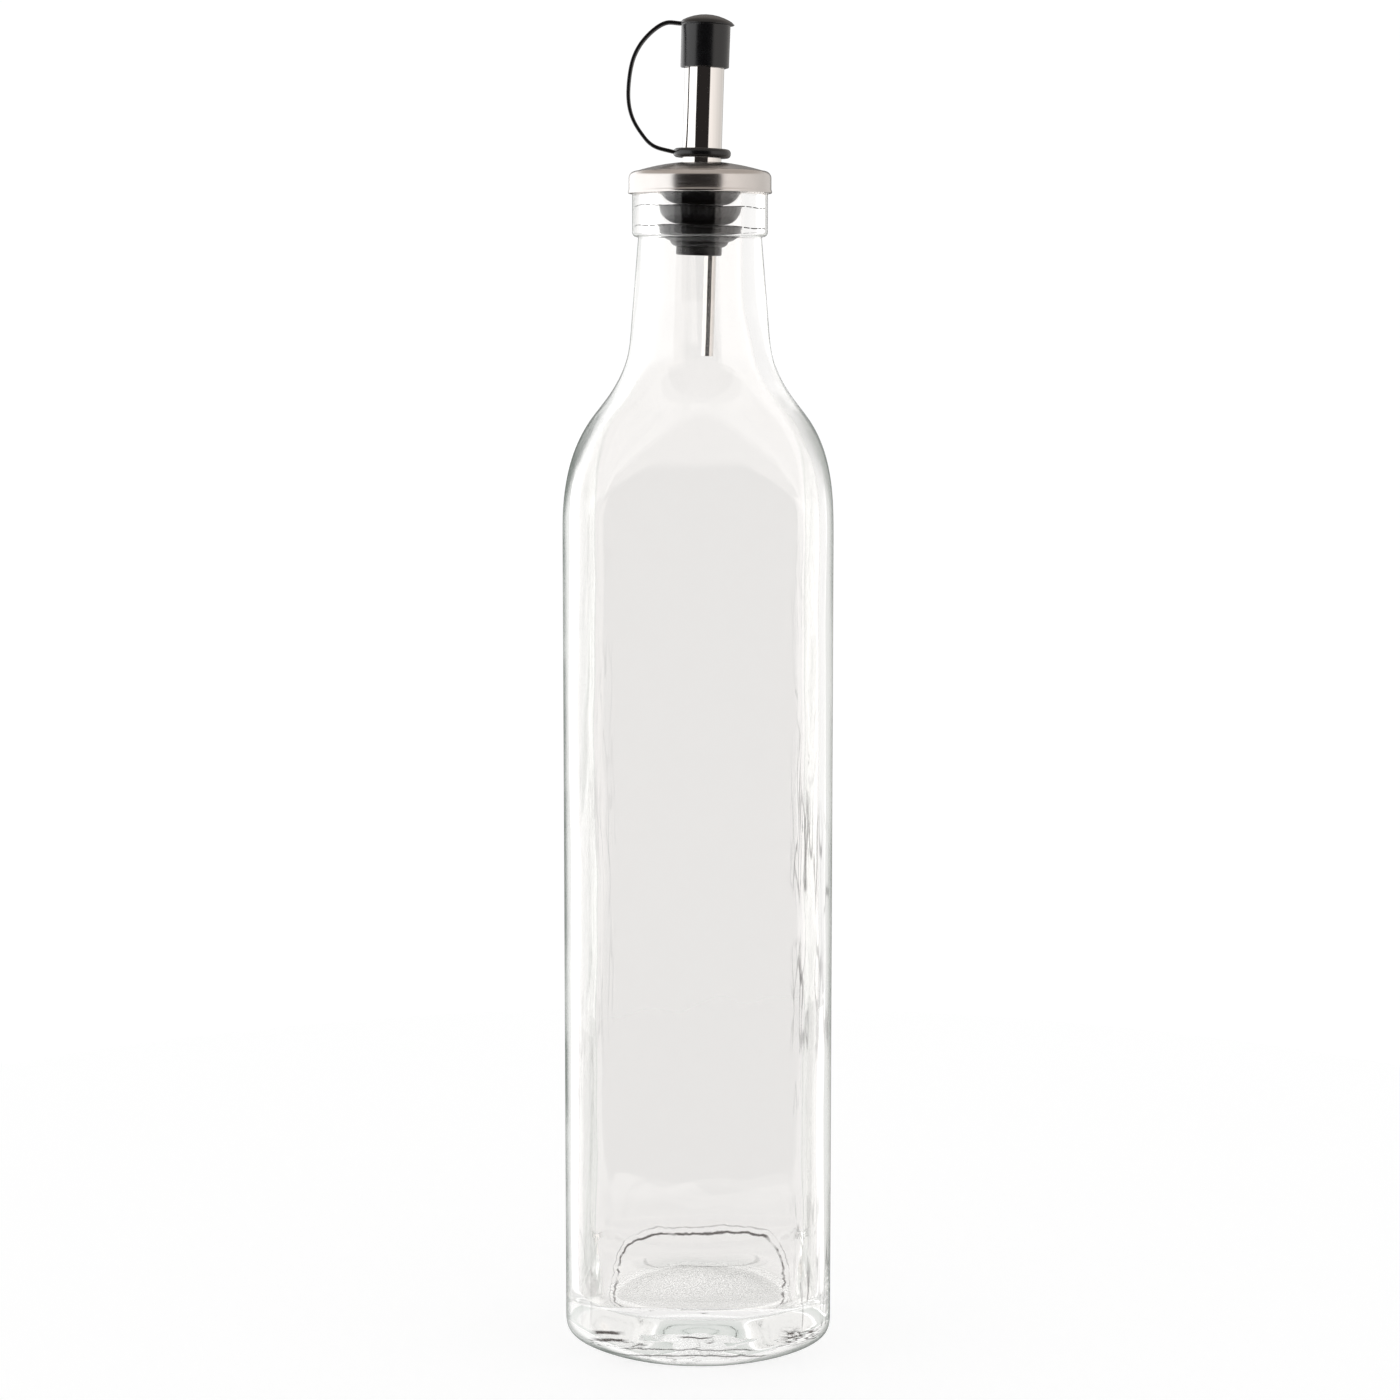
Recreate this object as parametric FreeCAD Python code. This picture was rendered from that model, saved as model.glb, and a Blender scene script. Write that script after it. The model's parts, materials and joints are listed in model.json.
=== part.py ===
import FreeCAD, Part
import math
import os

# Square glass bottle for oil or vinegar with a steel pourer in its neck.
# Millimetres, +Z up. The origin is on the bottle's axis, at the plane it stands on.
# The front face looks along -Y. The pourer leans slightly towards +X in the neck.

V = FreeCAD.Vector
AXIS = V(0, 0, 1)
ORIGIN = V(0, 0, 0)

# ---- glass bottle, outside -------------------------------------------------
body_width = 60.0
corner_radius = 9.0
foot_radius = 23.0
heel_height = 11.5
body_height = 186.0
shoulder_height = 32.0
shoulder_bend_radius = 21.4
neck_sweep_height = 13.0
neck_root_radius = 15.9
neck_height = 23.9
neck_top_radius = 14.0
finish_height = 13.0
finish_radius = 15.3
finish_edge = 1.4
corner_fade_height = 6.0

# ---- glass bottle, inside --------------------------------------------------
body_wall = 3.0
floor_thickness = 12.0
floor_radius = 20.0
floor_fillet = 7.0
floor_dome = 2.2
push_up_radius = 18.0
push_up_height = 3.6
bore_radius = 9.6
bore_root_radius = 12.0
bore_taper_height = 11.0

# ---- pourer ----------------------------------------------------------------
lean_angle = 1.8
tube_radius = 4.4
tube_wall = 0.4
tube_seat_depth = 11.0
tube_tip_slope = 30.0
breather_radius = 1.35
breather_wall = 0.35
breather_drop = 22.2
breather_below_tip = 4.5
solder_gap = 0.02

core_wall = 0.75
core_below_mouth = 17.6
fin_count = 3
fin_pitch = 4.45
fin_first_drop = 2.3
fin_cup = 3.4
fin_thickness = 0.7
fin_clearance = 0.15
entry_fin_shrink = 2.1
entry_fin_pitch = 3.0
flange_radius = 12.4
flange_thickness = 1.0
seat_gap = 0.1

collar_radius = 16.1
collar_wall = 0.5
collar_skirt = 5.0
collar_shoulder = 1.6
collar_dome = 2.2
collar_rim = 0.15
collar_rim_height = 0.6
collar_hole_clearance = 0.1

# ---- dust cap on its strap -------------------------------------------------
ring_radius = 6.5
ring_thickness = 2.0
ring_lift = 0.8
ring_clearance = 0.25
cap_radius = 5.5
cap_height = 10.0
cap_cover = 8.6
cap_clearance = 0.12
cap_roof = 1.1
cap_lid_radius = 6.4
cap_lid_edge = 0.35
cap_lid_dome = 2.0
strap_width = 3.0
strap_thickness = 0.9
strap_bow = 10.5
strap_gap = 0.1
spout_rise = 29.2

# ---- places that follow from the sizes above -------------------------------
body_half = body_width / 2
nearly_round = 0.985
shoulder_z = body_height
shoulder_bend_z = shoulder_z + shoulder_height
neck_root_z = shoulder_bend_z + neck_sweep_height
finish_z = neck_root_z + neck_height
mouth_z = finish_z + finish_height
corner_fade_z = shoulder_z + corner_fade_height
floor_z = floor_thickness
bore_taper_z = neck_root_z + bore_taper_height
collar_plate_z = mouth_z + flange_thickness + 2 * seat_gap + collar_wall
collar_top_z = collar_plate_z + collar_dome
tube_bottom_z = mouth_z - tube_seat_depth
tube_tip_z = collar_top_z + spout_rise
ring_z = collar_top_z + ring_lift
cap_z = tube_tip_z - cap_cover
core_radius = tube_radius + core_wall
core_bottom_z = mouth_z - core_below_mouth
breather_offset = tube_radius - tube_wall - breather_radius - solder_gap
breather_bottom_z = core_bottom_z - breather_drop
lean_pivot = V(0, 0, (mouth_z + core_bottom_z) / 2)
fin_swing = (mouth_z - core_bottom_z) / 2 * math.tan(math.radians(lean_angle))
fin_radius = bore_radius - fin_clearance - fin_swing


def leaned(shape):
    """The shape turned with the pourer, which stands a little askew in the neck."""
    turned = shape.copy()
    turned.rotate(lean_pivot, V(0, 1, 0), lean_angle)
    return turned


def turned_solid(points):
    """A solid of revolution about Z from a closed outline of (radius, height) points."""
    corners = [V(radius, 0, height) for radius, height in points]
    corners.append(corners[0])
    return Part.Face(Part.makePolygon(corners)).revolve(ORIGIN, AXIS, 360)


def rod(radius, low_z, high_z, offset=0.0):
    return Part.makeCylinder(radius, high_z - low_z, V(offset, 0, low_z))


def spherical_cap(radius, rise, base_z):
    """A dome of the given foot radius and rise, standing on the plane base_z."""
    ball_radius = (radius ** 2 + rise ** 2) / (2 * rise)
    ball = Part.makeSphere(ball_radius, V(0, 0, base_z + rise - ball_radius))
    return ball.common(rod(radius, base_z, base_z + rise))


def rounded_square(half_width, roundness, z):
    """A closed wire: a square with corners rounded by a share of its half width."""
    radius = half_width * min(roundness, nearly_round)
    flat = half_width - radius
    middle = flat + radius * math.sqrt(0.5)
    edges = []
    for quarter in range(4):
        turn = FreeCAD.Rotation(AXIS, 90 * quarter)
        side_start = turn.multVec(V(half_width, -flat, z))
        side_end = turn.multVec(V(half_width, flat, z))
        corner_middle = turn.multVec(V(middle, middle, z))
        corner_end = turn.multVec(V(flat, half_width, z))
        edges.append(Part.makeLine(side_start, side_end))
        edges.append(Part.Arc(side_end, corner_middle, corner_end).toShape())
    return Part.Wire(edges)


def loft(sections):
    return Part.makeLoft([rounded_square(*section) for section in sections], True, False)


def eased(share):
    """0 to 1 with a soft start and a soft end."""
    share = min(max(share, 0.0), 1.0)
    return share * share * (3 - 2 * share)


def shoulder_half_width(z):
    """Outside half width on the shoulder: bulging below the bend, hollow above it."""
    if z <= shoulder_bend_z:
        share = (z - shoulder_z) / (shoulder_bend_z - shoulder_z)
        return body_half - (body_half - shoulder_bend_radius) * share ** 3.7
    share = (neck_root_z - z) / (neck_root_z - shoulder_bend_z)
    return neck_root_radius + (shoulder_bend_radius - neck_root_radius) * share ** 1.7


def shoulder_sections(inset_below, inset_above):
    """Sections from the square body up to the round neck, set in from the outside."""
    sections = []
    count = 14
    for step in range(count + 1):
        share = step / count
        z = shoulder_z + (neck_root_z - shoulder_z) * share
        inset = inset_below + (inset_above - inset_below) * eased(share)
        half_width = shoulder_half_width(z) - inset
        own_corner = (corner_radius - inset_below) / (body_half - inset_below)
        fade = eased((z - corner_fade_z) / (shoulder_bend_z - corner_fade_z))
        sections.append((half_width, own_corner + (nearly_round - own_corner) * fade, z))
    return sections


def bowl_sections(low_z, height, low_radius, high_half, high_corner, low_roundness):
    """Sections of a rounded bottom edge, from a round foot out to the square walls."""
    sections = []
    count = 8
    for step in range(count + 1):
        angle = math.radians(90) * step / count
        z = low_z + height * (1 - math.cos(angle))
        half_width = low_radius + (high_half - low_radius) * math.sin(angle)
        fade = math.sin(angle) ** 2
        roundness = low_roundness + (high_corner / high_half - low_roundness) * fade
        sections.append((half_width, roundness, z))
    return sections


def prism(half_width, radius, low_z, high_z):
    wire = rounded_square(half_width, radius / half_width, low_z)
    return Part.Face(wire).extrude(V(0, 0, high_z - low_z))


def make_glass_bottle():
    """Thick square bottle: heavy foot, flat panels, rounded shoulder, ringed mouth."""
    heel = loft(bowl_sections(0, heel_height, foot_radius, body_half, corner_radius, nearly_round))
    body = prism(body_half, corner_radius, heel_height, shoulder_z)
    shoulder = loft(shoulder_sections(0, 0))
    neck_overlap = 0.5
    neck = turned_solid([
        (0, neck_root_z - neck_overlap), (neck_root_radius, neck_root_z - neck_overlap),
        (neck_root_radius, neck_root_z), (neck_top_radius, finish_z),
        (neck_top_radius, finish_z + finish_edge), (0, finish_z + finish_edge)])
    finish = rod(finish_radius, finish_z, mouth_z)
    finish = finish.makeFillet(finish_edge, [e for e in finish.Edges if e.Curve.TypeId == "Part::GeomCircle"])
    outside = heel.fuse([body, shoulder, neck, finish])

    inner_half = body_half - body_wall
    inner_corner = corner_radius - body_wall
    fillet_top_z = floor_z + floor_fillet
    bowl = loft(bowl_sections(floor_z, floor_fillet, floor_radius, inner_half, inner_corner, 0.8))
    room = prism(inner_half, inner_corner, fillet_top_z, shoulder_z)
    inner_shoulder = loft(shoulder_sections(body_wall, neck_root_radius - bore_root_radius))
    bore = turned_solid([
        (0, neck_root_z - neck_overlap), (bore_root_radius, neck_root_z - neck_overlap),
        (bore_root_radius, neck_root_z), (bore_radius, bore_taper_z),
        (bore_radius, mouth_z + 1), (0, mouth_z + 1)])
    hollow = bowl.fuse([room, inner_shoulder, bore])
    hollow = hollow.cut(spherical_cap(floor_radius * 0.9, floor_dome, floor_z))
    push_up = spherical_cap(push_up_radius, push_up_height, 0)
    return outside.cut(hollow).cut(push_up).removeSplitter()


def make_stopper():
    """Black rubber plug: hollow core with upturned sealing fins under a flat flange."""
    parts = [rod(core_radius, core_bottom_z, mouth_z + seat_gap + flange_thickness)]
    last_rim_z = mouth_z - fin_first_drop - fin_pitch * (fin_count - 1)
    rims = [(fin_radius, last_rim_z + fin_pitch * index) for index in range(fin_count)]
    rims.append((fin_radius - entry_fin_shrink, last_rim_z - entry_fin_pitch))
    for rim, rim_z in rims:
        root_z = rim_z - fin_cup * (rim - core_radius) / (fin_radius - core_radius)
        parts.append(turned_solid([
            (0, root_z - fin_thickness), (core_radius, root_z - fin_thickness),
            (rim, rim_z - fin_thickness), (rim, rim_z), (core_radius, root_z), (0, root_z)]))
    plug = leaned(parts[0].fuse(parts[1:]))
    flange = rod(flange_radius, mouth_z + seat_gap, mouth_z + seat_gap + flange_thickness)
    plug = plug.fuse(flange)
    tube_seat = rod(tube_radius, tube_bottom_z, collar_top_z)
    lower_hollow = rod(tube_radius - tube_wall, core_bottom_z - 1, tube_bottom_z)
    return plug.cut(leaned(tube_seat.fuse(lower_hollow))).removeSplitter()


def make_collar():
    """Pressed steel cover over the mouth: domed top, short skirt, slightly flared rim."""
    skirt_z = collar_plate_z - collar_skirt
    outer = rod(collar_radius, skirt_z, collar_plate_z)
    top_edge = [e for e in outer.Edges if e.BoundBox.ZMin > collar_plate_z - 0.01]
    outer = outer.makeFillet(collar_shoulder, top_edge)
    dome_radius = collar_radius - collar_shoulder
    outer = outer.fuse(spherical_cap(dome_radius, collar_dome, collar_plate_z))
    rim = rod(collar_radius + collar_rim, skirt_z, skirt_z + collar_rim_height)
    inner_plate_z = collar_plate_z - collar_wall
    inner = rod(collar_radius - collar_wall, skirt_z - 1, inner_plate_z)
    top_edge = [e for e in inner.Edges if e.BoundBox.ZMin > inner_plate_z - 0.01]
    inner = inner.makeFillet(collar_shoulder - collar_wall, top_edge)
    inner = inner.fuse(spherical_cap(dome_radius, collar_dome, inner_plate_z))
    hole = leaned(rod(tube_radius + collar_hole_clearance, skirt_z, collar_top_z + 2))
    return outer.fuse(rim).cut(inner).cut(hole).removeSplitter()


def make_spout_tube():
    """Steel pouring tube pressed into the stopper, its tip cut on a slope."""
    tube = rod(tube_radius, tube_bottom_z, tube_tip_z)
    tube = tube.cut(rod(tube_radius - tube_wall, tube_bottom_z - 1, tube_tip_z + 1))
    cutter_size = 6 * tube_radius
    cutter = Part.makeBox(cutter_size, cutter_size, cutter_size, V(0, -cutter_size / 2, 0))
    cutter.rotate(ORIGIN, V(0, 1, 0), -tube_tip_slope)
    cutter.translate(V(-tube_radius, 0, tube_tip_z - 2 * tube_radius * math.tan(math.radians(tube_tip_slope))))
    return leaned(tube.cut(cutter))


def make_breather_tube():
    """Thin steel air tube soldered inside the spout and reaching down into the bottle."""
    tip_z = tube_tip_z - breather_below_tip
    tube = rod(breather_radius, breather_bottom_z, tip_z, breather_offset)
    bore = rod(breather_radius - breather_wall, breather_bottom_z - 1, tip_z + 1, breather_offset)
    return leaned(tube.cut(bore))


def make_strap_ring():
    """Loose black ring around the foot of the spout that keeps the cap on the pourer."""
    ring = rod(ring_radius, ring_z, ring_z + ring_thickness)
    round_over = ring_thickness * 0.42
    ring = ring.makeFillet(round_over, [e for e in ring.Edges if e.Curve.TypeId == "Part::GeomCircle"])
    return leaned(ring.cut(rod(tube_radius + ring_clearance, ring_z - 1, ring_z + ring_thickness + 1)))


def make_dust_cap():
    """Black cap over the spout tip: plain cup with a thin domed lid that overhangs it."""
    lid_z = cap_z + cap_height
    cup = rod(cap_radius, cap_z, lid_z)
    edge = rod(cap_lid_radius, lid_z - cap_lid_edge, lid_z)
    dome = spherical_cap(cap_lid_radius, cap_lid_dome, lid_z)
    socket = rod(tube_radius + cap_clearance, cap_z - 1, lid_z - cap_roof)
    return leaned(cup.fuse([edge, dome]).cut(socket).removeSplitter())


def make_cap_strap():
    """Bendy black strap, a flat strip that bows out from the ring up to the cap's lid."""
    low = V(-ring_radius + 0.6, 0, ring_z + ring_thickness / 2)
    high = V(-cap_lid_radius - strap_gap, 0, cap_z + cap_height - cap_lid_edge / 2)
    out_x = -ring_radius - strap_bow
    rise = high.z - low.z
    route = [
        low, V(out_x + 6.1, 0, low.z + 0.045 * rise), V(out_x + 0.9, 0, low.z + 0.275 * rise),
        V(out_x, 0, low.z + 0.47 * rise), V(out_x + 2.1, 0, low.z + 0.81 * rise),
        V(out_x + 6.4, 0, low.z + 0.97 * rise), high]
    spine = Part.BSplineCurve()
    spine.interpolate(route)
    path = Part.Wire(spine.toShape())
    start = spine.tangent(0)[0]
    across = start.cross(V(0, 1, 0))
    half_width = V(0, strap_width / 2, 0)
    half_thick = across * (strap_thickness / 2)
    corners = [low + half_width + half_thick, low + half_width - half_thick,
               low - half_width - half_thick, low - half_width + half_thick]
    section = Part.makePolygon(corners + [corners[0]])
    strap = path.makePipeShell([section], True, False)
    ring_body = rod(ring_radius - 0.01, ring_z - 1, ring_z + ring_thickness + 1)
    return leaned(strap.cut(ring_body))


nodes = {
    "glass_bottle": make_glass_bottle(),
    "stopper": make_stopper(),
    "collar": make_collar(),
    "spout_tube": make_spout_tube(),
    "breather_tube": make_breather_tube(),
    "strap_ring": make_strap_ring(),
    "dust_cap": make_dust_cap(),
    "cap_strap": make_cap_strap(),
}

os.makedirs("parts", exist_ok=True)
for name, shape in nodes.items():
    box = shape.BoundBox
    print(f"{name}: {len(shape.Solids)} solid, valid {shape.isValid()}, {shape.Volume / 1000:.2f} cm3,"
          f" z {box.ZMin:.2f} to {box.ZMax:.2f}, x {box.XMin:.2f} to {box.XMax:.2f}")
    shape.exportStep(f"parts/{name}.step")
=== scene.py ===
import math
import bpy
import bmesh
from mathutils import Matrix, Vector
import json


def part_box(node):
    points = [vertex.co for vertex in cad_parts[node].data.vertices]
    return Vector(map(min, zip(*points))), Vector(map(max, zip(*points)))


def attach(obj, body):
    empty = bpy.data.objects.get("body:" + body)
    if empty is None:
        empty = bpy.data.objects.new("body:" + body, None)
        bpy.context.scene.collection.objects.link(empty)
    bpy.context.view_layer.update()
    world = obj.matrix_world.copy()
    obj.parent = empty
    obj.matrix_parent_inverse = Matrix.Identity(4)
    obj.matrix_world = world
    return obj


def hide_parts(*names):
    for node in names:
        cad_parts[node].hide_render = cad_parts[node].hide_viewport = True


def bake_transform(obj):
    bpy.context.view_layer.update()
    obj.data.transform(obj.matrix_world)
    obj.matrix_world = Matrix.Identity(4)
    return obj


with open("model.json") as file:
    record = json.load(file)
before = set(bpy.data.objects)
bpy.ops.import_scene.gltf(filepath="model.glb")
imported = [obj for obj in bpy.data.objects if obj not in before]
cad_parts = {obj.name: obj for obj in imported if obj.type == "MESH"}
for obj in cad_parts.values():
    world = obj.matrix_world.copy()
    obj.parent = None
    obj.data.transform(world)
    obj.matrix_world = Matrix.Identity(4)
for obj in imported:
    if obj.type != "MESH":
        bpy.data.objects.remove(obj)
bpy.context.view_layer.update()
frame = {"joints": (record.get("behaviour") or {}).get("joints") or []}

# ---- glass bottle ------------------------------------------------------------
# The real piece is a square pressed-and-blown bottle with a heavy foot, a sloping
# shoulder and a ringed mouth. It is flint soda-lime glass, blown in a metal mould, so
# the outside is true and the inside wanders a little, which bends what shows through.

MM = 0.001
bottle_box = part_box("glass_bottle")
body_half = bottle_box[1].x / MM
mouth_z = bottle_box[1].z / MM
corner_radius = 9.0
foot_radius = 23.0
heel_height = 11.5
shoulder_z = 186.0
bend_z = 218.0
bend_half = 21.4
neck_root_z = 231.0
neck_root_radius = 15.9
finish_z = 254.9
neck_top_radius = 14.0
finish_radius = 15.3
body_wall = 3.0
floor_z = 12.0
floor_radius = 21.0
floor_tilt = 0.045
floor_edge_z = 16.4
floor_dome = 2.2
floor_roundness = 0.8
push_up_radius = 18.0
push_up_height = 3.6
bore_radius = 9.6
bore_root_radius = 12.0
bore_taper_z = 242.0
bore_mouth_round = 0.6
ring_root_round = 0.3
ring_foot_round = 1.0
lip_round = 1.4


def ramp(share):
    """0 to 1 with a soft start and a soft end."""
    share = min(max(share, 0.0), 1.0)
    return share * share * (3 - 2 * share)


def dome_height(radius, foot, rise):
    """Height of a spherical dome at a radius, standing on a foot circle."""
    ball = (foot * foot + rise * rise) / (2 * rise)
    return math.sqrt(ball * ball - min(radius, foot) ** 2) - (ball - rise)


def square_angles():
    """Angles round the bottle, closer together at the four corners."""
    angles = []
    for quarter in range(4):
        for first, last, steps in ((-35, 35, 40), (35, 55, 36)):
            for step in range(steps):
                turn = first + (last - first) * step / steps + 90 * quarter
                angles.append(math.radians(turn))
    return angles


def square_reach(half_width, roundness, angle):
    """Distance from the axis to a rounded square, in one direction."""
    radius = half_width * min(roundness, 1.0)
    flat = half_width - radius
    a, b = sorted((abs(math.cos(angle)), abs(math.sin(angle))))
    straight = half_width / b
    if straight * a <= flat:
        return straight
    along = flat * (a + b)
    return along + math.sqrt(max(along * along - 2 * flat * flat + radius * radius, 0.0))


def shoulder_half(z):
    """Half the outside width of the shoulder at a height."""
    if z <= bend_z:
        drop = ((z - shoulder_z) / (bend_z - shoulder_z)) ** 3.7
        return body_half - (body_half - bend_half) * drop
    drop = ((neck_root_z - z) / (neck_root_z - bend_z)) ** 1.7
    return neck_root_radius + (bend_half - neck_root_radius) * drop


def smoothed(sections, rounds):
    """Sections with their half widths evened out, so that no bend shows as a line."""
    for _ in range(rounds):
        halves = [s[0] for s in sections]
        for i in range(1, len(sections) - 1):
            half = (halves[i - 1] + 2 * halves[i] + halves[i + 1]) / 4
            sections[i] = (half, *sections[i][1:])
    return sections


def wander(angle, z):
    """How far the blown inside stands off its true line, in mm."""
    slow = 0.16 * math.sin(z / 17.0 + 2.0 * math.cos(angle + 0.6))
    slow += 0.12 * math.sin(z / 9.3 + 3 * angle)
    quick = 0.05 * math.sin(z / 3.9 + 7 * angle) * math.cos(5 * angle + z / 31)
    return slow + quick


def shoulder_rows(inset_below, inset_above):
    """Rows of the shoulder from the square body to the round neck, set in by the wall."""
    rows = []
    count = 44
    for step in range(count + 1):
        z = shoulder_z + (neck_root_z - shoulder_z) * step / count
        inset = inset_below + (inset_above - inset_below) * ramp(step / count)
        own = (corner_radius - inset_below) / (body_half - inset_below)
        fade = ramp((z - shoulder_z - 6) / (bend_z - shoulder_z - 6))
        rows.append((shoulder_half(z) - inset, own + (1 - own) * fade, z))
    return rows


def bowl_rows(low_z, height, low_radius, high_half, high_corner, low_round, count):
    """Rows that curve up and out from a flat circle to the upright square wall."""
    rows = []
    for step in range(count + 1):
        angle = math.pi / 2 * step / count
        half = low_radius + (high_half - low_radius) * math.sin(angle)
        fade = math.sin(angle) ** 2
        roundness = low_round + (high_corner / high_half - low_round) * fade
        rows.append((half, roundness, low_z + height * (1 - math.cos(angle))))
    return rows


outside = []
for step in range(1, 13):
    radius = (push_up_radius - 0.6) * step / 12
    outside.append((radius, 1.0, dome_height(radius, push_up_radius, push_up_height)))
for radius, z in ((17.9, 0.12), (18.5, 0.03), (19.2, 0.0), (20.2, 0.0), (21.4, 0.0), (22.4, 0.0)):
    outside.append((radius, 1.0, z))
outside += bowl_rows(0, heel_height, foot_radius, body_half, corner_radius, 1.0, 18)
body_rows = 58
for step in range(1, body_rows):
    z = heel_height + (shoulder_z - heel_height) * step / body_rows
    outside.append((body_half, corner_radius / body_half, z))
upper = shoulder_rows(0, 0)
for step in range(1, 21):
    share = step / 20
    upper.append((neck_root_radius + (neck_top_radius - neck_root_radius) * share, 1.0,
                  neck_root_z + (finish_z - 0.5 - neck_root_z) * share))
outside += smoothed(upper, 8)
for turn in range(0, 91, 18):
    a = math.radians(turn)
    outside.append((neck_top_radius + ring_root_round * (1 - math.cos(a)), 1.0,
                    finish_z - ring_root_round + ring_root_round * math.sin(a)))
for turn in range(0, 91, 11):
    a = math.radians(turn)
    outside.append((finish_radius - ring_foot_round + ring_foot_round * math.sin(a), 1.0,
                    finish_z + ring_foot_round * (1 - math.cos(a))))
for step in range(1, 8):
    ring_height = mouth_z - finish_z - (ring_foot_round + lip_round)
    outside.append((finish_radius, 1.0, finish_z + ring_foot_round + ring_height * step / 8))
for turn in range(0, 91, 11):
    a = math.radians(turn)
    outside.append((finish_radius - lip_round + lip_round * math.cos(a), 1.0,
                    mouth_z - lip_round + lip_round * math.sin(a)))
outside.append((12.0, 1.0, mouth_z))
for turn in range(0, 91, 15):
    a = math.radians(turn)
    outside.append((bore_radius + bore_mouth_round - bore_mouth_round * math.sin(a), 1.0,
                    mouth_z - bore_mouth_round * (1 - math.cos(a))))

inside = []
inner_half = body_half - body_wall
inner_roundness = (corner_radius - body_wall) / inner_half
for step in range(25):
    share = step / 24
    inside.append((floor_radius + (inner_half - floor_radius) * share,
                   floor_roundness + (inner_roundness - floor_roundness) * share ** 2,
                   floor_z + (floor_edge_z - floor_z) * share ** 2))
for step in range(1, body_rows):
    inside.append((inner_half, inner_roundness,
                   floor_edge_z + (shoulder_z - floor_edge_z) * step / body_rows))
upper = shoulder_rows(body_wall, neck_root_radius - bore_root_radius)
for step in range(1, 13):
    share = step / 12
    upper.append((bore_root_radius + (bore_radius - bore_root_radius) * share, 1.0,
                  neck_root_z + (bore_taper_z - neck_root_z) * share))
for step in range(1, 20):
    upper.append((bore_radius, 1.0,
                  bore_taper_z + (mouth_z - 2 * bore_mouth_round - bore_taper_z) * step / 19))
inside += smoothed(upper, 8)
floor_rows = []
for step in range(1, 16):
    share = step / 16
    floor_rows.append((floor_radius * step / 16, floor_roundness + 0.2 * (1 - share) ** 2,
                       floor_z + floor_dome * (1 - share ** 2) ** 2))
inside = floor_rows + inside

angles = square_angles()
glass_rows = []
for half, roundness, z in outside:
    row = []
    for a in angles:
        reach = square_reach(half, roundness, a)
        row.append((reach * math.cos(a), reach * math.sin(a), z))
    glass_rows.append(row)
# The inside leans with its floor near the foot, and wanders most in the body.
for half, roundness, z in reversed(inside):
    tilt = floor_tilt * (1 - ramp((z - 21) / 22))
    spread = ramp((z - 13) / 8) * (0.25 + 0.75 * ramp((205 - z) / 20)) * ramp((236 - z) / 14)
    row = []
    for a in angles:
        reach = square_reach(half, roundness, a) + spread * wander(a, z)
        row.append((reach * math.cos(a), reach * math.sin(a), z + tilt * reach * math.sin(a)))
    glass_rows.append(row)


def skin(name, rows, low_pole=None, high_pole=None, loop=False, sharp=None):
    """A mesh over rings of points in mm, closed by a pole at either end or back on itself."""
    count = len(rows[0])
    points = [p for row in rows for p in row]
    faces = []
    last = len(rows) if loop else len(rows) - 1
    for i in range(last):
        here, there = i * count, (i + 1) % len(rows) * count
        for k in range(count):
            n = (k + 1) % count
            faces.append((here + k, here + n, there + n, there + k))
    for pole, start in ((low_pole, 0), (high_pole, (len(rows) - 1) * count)):
        if pole is not None:
            points.append(pole)
            tip = len(points) - 1
            faces += [(start + k, start + (k + 1) % count, tip) for k in range(count)]
    mesh = bpy.data.meshes.new(name)
    mesh.from_pydata([(x * MM, y * MM, z * MM) for x, y, z in points], [], faces)
    shape = bmesh.new()
    shape.from_mesh(mesh)
    bmesh.ops.recalc_face_normals(shape, faces=shape.faces)
    shape.to_mesh(mesh)
    shape.free()
    mesh.polygons.foreach_set("use_smooth", [True] * len(mesh.polygons))
    if sharp:
        mesh.set_sharp_from_angle(angle=math.radians(sharp))
    piece = bpy.data.objects.new(name, mesh)
    bpy.context.scene.collection.objects.link(piece)
    return piece


def linear(code, strength=1.0):
    """A colour socket's value from an sRGB hex colour."""
    parts = [int(code[i:i + 2], 16) / 255 for i in (1, 3, 5)]
    parts = [c / 12.92 if c <= 0.04045 else ((c + 0.055) / 1.055) ** 2.4 for c in parts]
    return (*[c * strength for c in parts], 1.0)


def add_node(tree, kind, inputs=None, **settings):
    """A node with its settings. An input is a value, an output, or a node with one output."""
    node = tree.nodes.new(kind)
    for setting, value in settings.items():
        setattr(node, setting, value)
    sockets = {socket.name: socket for socket in reversed(node.inputs) if socket.enabled}
    for name, value in (inputs or {}).items():
        socket = node.inputs[name] if isinstance(name, int) else sockets[name]
        if isinstance(value, bpy.types.Node):
            value = next(output for output in value.outputs if output.enabled)
        if isinstance(value, bpy.types.NodeSocket):
            tree.links.new(value, socket)
        else:
            socket.default_value = value
    return node


def new_material(name):
    """A material with an empty node tree, and that tree."""
    material = bpy.data.materials.new(name)
    material.use_nodes = True
    material.node_tree.nodes.clear()
    return material, material.node_tree


glass_bottle = skin("bottle_glass", glass_rows, low_pole=(0, 0, push_up_height),
                    high_pole=(0, 0, floor_z + floor_dome))

# Flint soda-lime glass: colourless face on, grey-green where the eye looks along the wall. The
# grey-green is partly the glass's own colour and partly painted shade that darkens the outline.
glass_ior = 1.52
glass_colour = "#DCE4E0"
glass_density = 2.0
tent_mean = "#ECEDEB"
caught_after = 6.5
soda_lime_glass, tree = new_material("soda-lime glass")
place = add_node(tree, "ShaderNodeTexCoord")
facing = add_node(tree, "ShaderNodeLayerWeight", {"Blend": 0.5})
edge = add_node(tree, "ShaderNodeMapRange", {
    "Value": facing.outputs["Facing"], "From Min": 0.62, "From Max": 1.0},
    interpolation_type="SMOOTHSTEP")
place_parts = add_node(tree, "ShaderNodeSeparateXYZ", {"Vector": place.outputs["Object"]})
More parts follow.
